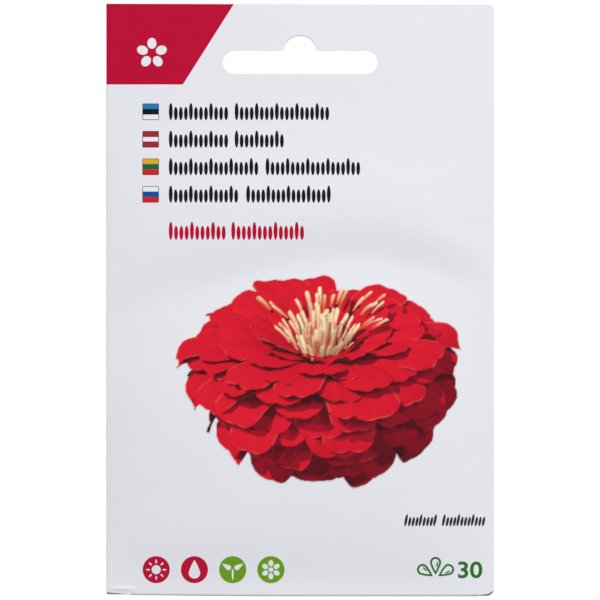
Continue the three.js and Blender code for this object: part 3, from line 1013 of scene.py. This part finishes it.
TIERS = (  # petals, then the root, the middle and the tip of their curve (out, up), their width and their cup
    (12, (3, -20), (13, -17), (15.0, -29.0), 11.0, 0.12),
    (15, (3, -18), (19, -12), (20.5, -25.5), 11.5, 0.14),
    (17, (3, -15), (23, -8), (25.0, -20.5), 11.5, 0.13),
    (19, (3, -12), (26, -4.5), (28.0, -15.0), 11.5, 0.10),
    (20, (3, -9.5), (27, -1.5), (29.6, -9.8), 11.5, 0.07),
    (20, (3, -7.5), (24, 0.8), (29.6, -5.2), 11.0, 0.03),
    (18, (2.8, -6), (19, 1.6), (27.0, -1.9), 10.5, -0.03),
    (16, (2.6, -5), (15, 1.2), (22.0, 0.6), 9.0, -0.08),
    (14, (2.4, -4.4), (9, -0.4), (15.5, 2.0), 6.6, -0.14),
    (9, (2.0, -4.2), (5, -2.4), (9.5, 0.2), 4.0, -0.20),
)
PETAL, FLORET, STAR = range(3)
HEART_RADIUS = 5.6
HEART_FLOOR = -3.8
FLORETS = 64
STRIPS = 24
STARS = 60
GOLDEN_TURN = 2.39996
RIDGE = 0.016
WAIST_END = 0.6
WAIST_POWER = 1.4
NOTCH_WIDTH = 0.2
# Where a pale rim starts, of a petal's half width or of its length, and over how much of it the rim fades in.
RIM_SIDE = (0.90, 0.10)
RIM_TIP = (0.955, 0.03)
RIM_AMOUNT = 0.28

SHADES = (0.0, 0.12, 0.30, 0.60, 0.95, 1.40)
REDS = ((0.030, 0.004, 0.006), (0.115, 0.004, 0.010), (0.250, 0.004, 0.015), (0.460, 0.005, 0.020),
        (0.610, 0.006, 0.024), (0.730, 0.010, 0.029))
SALMON = np.array((0.760, 0.138, 0.054))
CREAM = np.array((0.922, 0.760, 0.479))
BROWN = np.array((0.402, 0.045, 0.021))
AMBER = np.array((0.730, 0.195, 0.021))
PALE_RIM = np.array((0.871, 0.223, 0.127))
BARE_PAPER = np.array((0.740, 0.748, 0.789))

random = np.random.default_rng(11)
sheets = []


def add_petal(kind, turn, root, middle, tip, width, cup, steps=(20, 13), waist=0.3, blunt=1.0, notch=0.0,
              roll=0.0):
    """Adds one petal: a grid drawn out along a curve of three points (out, up), turned about the heart."""
    along = np.linspace(0, 1, steps[0])[:, None] ** 0.9
    across = np.linspace(-1, 1, steps[1])[None, :]
    round_end = width / 2 * blunt / math.dist(root, tip) * (1 - np.sqrt(1 - 0.98 * across ** 2))
    along = along * (1 - round_end - notch * np.exp(-(across / NOTCH_WIDTH) ** 2))
    back = 1 - along
    out, up = (back ** 2 * root[k] + 2 * along * back * middle[k] + along ** 2 * tip[k] for k in (0, 1))
    out_step, up_step = (back * (middle[k] - root[k]) + along * (tip[k] - middle[k]) for k in (0, 1))
    pace = np.hypot(out_step, up_step)
    breadth = waist + (1 - waist) * np.sin(math.pi / 2 * np.clip(along / WAIST_END, 0, 1)) ** WAIST_POWER
    side = across * width / 2 * breadth
    lift = width * (cup * (across ** 2 - 0.35) * (0.3 + 0.7 * along) + RIDGE * np.cos(3 * math.pi * across)
                    + roll * across * along)
    out, up = out - up_step / pace * lift, up + out_step / pace * lift
    x = out * math.sin(turn) + side * math.cos(turn)
    y = side * math.sin(turn) - out * math.cos(turn)
    places = np.stack([x, y, up], -1)
    normals = np.cross(np.gradient(places, axis=1), np.gradient(places, axis=0))
    marks = np.stack(np.broadcast_arrays(along, across, kind, random.normal()), -1)
    sheets.append(np.concatenate([places, normals, marks], -1))


for tier, (count, root, middle, tip, width, cup) in enumerate(TIERS):
    for petal in range(count):
        grow, droop = 1 + random.normal(0, 0.04), random.normal(0, 0.8)
        add_petal(
            PETAL, math.tau * (petal + 0.5 * (tier % 2) + 0.21 * tier) / count + random.normal(0, 0.06), root,
            (middle[0] * grow, middle[1] + droop / 2), (tip[0] * grow, tip[1] + droop),
            width * (1 + random.normal(0, 0.08)), cup + random.normal(0, 0.04), roll=random.normal(0, 0.07),
            notch=0.015 + 0.03 * random.random())
for floret in range(FLORETS):
    share = (floret + 0.5) / FLORETS
    foot = 0.6 + HEART_RADIUS * math.sqrt(share)
    lean = 0.04 + 0.55 * share + random.normal(0, 0.10)
    length = 8.0 - 2.4 * share + random.normal(0, 1.2)
    knee = (foot + 0.4 * length * math.sin(lean / 2), HEART_FLOOR + 0.55 * length)
    tip = (foot + length * math.sin(lean), HEART_FLOOR + length * math.cos(lean))
    width = 0.8 + 0.6 * random.random()
    add_petal(FLORET, floret * GOLDEN_TURN, (foot, HEART_FLOOR), knee, tip, width, -0.3, (9, 5), 0.7, 1.3)
for strip in range(STRIPS):
    turn, foot, length = random.uniform((1.3, 8.0, 2.2), (4.1, 14.5, 4.6))
    rise = 0.4 + 0.12 * foot
    tip = (foot + length, rise + 1.6 + random.random())
    width = 0.7 + 0.5 * random.random()
    add_petal(FLORET, turn, (foot, rise), (foot + length / 2, rise + 1.5), tip, width, -0.3, (9, 5), 0.5, 1.2)
for star in range(STARS):
    share = (star + 0.5) / STARS
    foot = 7.0 * math.sqrt(share)
    lean = 0.3 + 0.9 * share
    length = 1.8 + 0.9 * random.random()
    tip = (foot + length * math.sin(lean), HEART_FLOOR + length * math.cos(lean))
    knee = (foot + length / 3, HEART_FLOOR + length / 2)
    add_petal(STAR, star * GOLDEN_TURN + 1, (foot, HEART_FLOOR), knee, tip, 1.0, 0.2, (5, 4), notch=0.1)

firsts = np.cumsum([0] + [sheet.shape[0] * sheet.shape[1] for sheet in sheets])
corners = []
for first, (rows, columns) in zip(firsts, (sheet.shape[:2] for sheet in sheets)):
    corner = first + np.arange(rows - 1)[:, None] * columns + np.arange(columns - 1)
    corners.append(np.stack([corner, corner + 1, corner + 1 + columns, corner + columns], -1).reshape(-1, 4))
corners = np.concatenate(corners)
points = np.concatenate([sheet.reshape(-1, sheet.shape[2]) for sheet in sheets])
posed = BVHTree.FromPolygons(points[:, :3].tolist(), corners.tolist())

rays = 2
to_eye = Vector((0, -math.cos(EYE_RISE), math.sin(EYE_RISE)))
view_up = Vector((0, math.sin(EYE_RISE), math.cos(EYE_RISE)))
columns, rows = (count * rays for count in PICTURE_CELLS)
pitch = PICTURE_CELL / PICTURE_SCALE / rays
met = np.full((rows, columns), -1)
places = []
for row in range(rows):
    start = to_eye * EYE_FAR + view_up * ((row + 0.5 - rows / 2) * pitch + EYE_DROP)
    for column in range(columns):
        start.x = (column + 0.5 - columns / 2) * pitch
        place, _, face, _ = posed.ray_cast(start, -to_eye)
        if face is not None:
            met[row, column] = face
            places.append(place)
covered = met >= 0
places = np.array(places)

quad = points[corners[met[covered]]]
edges = np.stack([quad[:, 1, :3] - quad[:, 0, :3], quad[:, 3, :3] - quad[:, 0, :3]], -1)
share = np.einsum("nij,nj->ni", np.linalg.pinv(edges), places - quad[:, 0, :3]).clip(0, 1)
u, v = share[:, :1], share[:, 1:]
seen = (quad[:, 0] * (1 - u) + quad[:, 1] * u) * (1 - v) + (quad[:, 3] * (1 - u) + quad[:, 2] * u) * v
normals = seen[:, 3:6] / np.linalg.norm(seen[:, 3:6], axis=1, keepdims=True)
normals *= np.where(normals @ to_eye < 0, -1, 1)[:, None]
along, across = seen[:, 6], seen[:, 7]
kind, tone = quad[:, 0, 8], quad[:, 0, 9]


def open_to(direction, reach):
    """For each place that the eye sees, 1 if it is open in one direction and 0 if a petal is in the way."""
    starts = places + normals * SHADOW_LIFT + np.array(direction) * SHADOW_LEAD
    return np.array([posed.ray_cast(Vector(start), direction, reach)[2] is None for start in starts], float)


sun_way = Vector(SUN).normalized()
lit = open_to(sun_way, SUN_REACH)
sky_ways = [Vector(way).normalized() for way in SKY[:len(SKY)]]
sky = sum(open_to(way, SKY_REACH) * (normals @ way).clip(SKY_LEAST, 1) for way in sky_ways) / len(sky_ways)
far_side = ((places @ Vector(FAR_WAY) - FAR_START) / FAR_SPAN).clip(0, 1)
vein = np.cos(across * 21 + 1.5 * np.sin(along * 4 + tone)) * (1 - along)
sunlight = lit * (SUN_LIGHT + SUN_FACING * (normals @ sun_way).clip(0, 1))
light = SKY_LIGHT * sky + sunlight + TONE_LIGHT * tone + VEIN_LIGHT * vein
light *= 1 - FAR_SHADE * far_side

colours = np.stack([np.interp(light, SHADES, channel) for channel in zip(*REDS)], -1)
rim = sum(((reach - start) / fade).clip(0, 1) for reach, (start, fade) in (
    (np.abs(across), RIM_SIDE), (along, RIM_TIP)))
rim = (rim.clip(0, 1) * RIM_AMOUNT * (tone > 0.3) * (0.3 + 0.7 * lit))[:, None]
colours += (PALE_RIM - colours) * rim
florets = kind == FLORET
cream = (0.02 + 1.05 * along + 0.18 * tone - 0.5 * np.abs(across) ** 3).clip(0, 1)[florets, None]
shade = (0.55 + 0.45 * lit + 0.08 * tone).clip(0.45, 1)[florets, None]
edge = 0.5 * (np.abs(across) > 0.8)[florets, None]
colours[florets] = (SALMON + (CREAM - SALMON) * cream) * shade * (1 - edge) + BROWN * edge
stars = kind == STAR
colours[stars] = AMBER * (0.40 + 0.6 * lit + 0.1 * tone).clip(0.3, 1)[stars, None]

picture = np.zeros((rows, columns, 4))
picture[covered] = np.column_stack([colours, np.ones(len(colours))])
picture = picture.reshape(PICTURE_CELLS[1], rays, PICTURE_CELLS[0], rays, 4).mean((1, 3))
picture[..., :3] += BARE_PAPER * (1 - picture[..., 3:])

bpy.ops.mesh.primitive_grid_add(
    x_subdivisions=PICTURE_CELLS[0] - 1, y_subdivisions=PICTURE_CELLS[1] - 1, size=1,
    **upright(PICTURE_MIDDLE.x, PICTURE_MIDDLE.z))
bloom = bpy.context.active_object
bloom.name = "print_bloom"
bloom.scale = ((PICTURE_CELLS[0] - 1) * PICTURE_CELL * MM, (PICTURE_CELLS[1] - 1) * PICTURE_CELL * MM, 1)
settle(bloom)
spots = (vertex_places(bloom) - np.array(PICTURE_MIDDLE)) / (PICTURE_CELL * MM)
column = np.rint(spots[:, 0] + (PICTURE_CELLS[0] - 1) / 2).astype(int)
row = np.rint(spots[:, 2] + (PICTURE_CELLS[1] - 1) / 2).astype(int)
point_colours = bloom.data.color_attributes.new("picture", "FLOAT_COLOR", "POINT")
vertex_colours = np.column_stack([picture[row, column, :3], np.ones(len(row))])
point_colours.data.foreach_set("color", vertex_colours.ravel())

inked = picture[..., 3] > 0
near_ink = inked.copy()
for down, aside in ((0, 1), (0, -1), (1, 0), (-1, 0), (1, 1), (1, -1), (-1, 1), (-1, -1)):
    near_ink |= np.roll(inked, (down, aside), (0, 1))
bpy.ops.object.mode_set(mode="EDIT")
bpy.ops.mesh.select_mode(type="VERT")
bpy.ops.mesh.select_all(action="DESELECT")
mesh = bmesh.from_edit_mesh(bloom.data)
for vertex, keep in zip(mesh.verts, near_ink[row, column]):
    vertex.select_set(not keep)
bpy.ops.mesh.delete(type="VERT")
bpy.ops.object.mode_set(mode="OBJECT")
modify(bloom, "SHRINKWRAP", target=skin, wrap_method="PROJECT", use_project_y=True)
modify(bloom, "DISPLACE", strength=INK_LIFT, mid_level=0.0)
modify(bloom, "SOLIDIFY", thickness=INK_FILM, offset=1.0)
smooth(bloom)

picture_ink, shader, place = finish("picture_ink", Specular_IOR_Level=INK_GLOSS)
fibre = grain(place, FIBRE, 3.0)
printed = place.node("ShaderNodeAttribute", {"attribute_name": "picture"}, output="Color")
worn = place.node("ShaderNodeMix", {"data_type": "RGBA", "blend_type": "MULTIPLY"}, {
    "Factor": 1.0, 6: printed, 7: between(fibre, (0.93, 0.93, 0.93), (1.0, 1.0, 1.0))}, output=2)
feed(shader, "Base Color", worn)
feed(shader, "Roughness", INK_ROUGHNESS + INK_ROUGH_SPREAD * fibre)
ripple_normal(shader, fibre, INK_BUMP)
bloom.data.materials.append(picture_ink)
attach(bloom, "root")

bpy.data.objects.remove(skin)
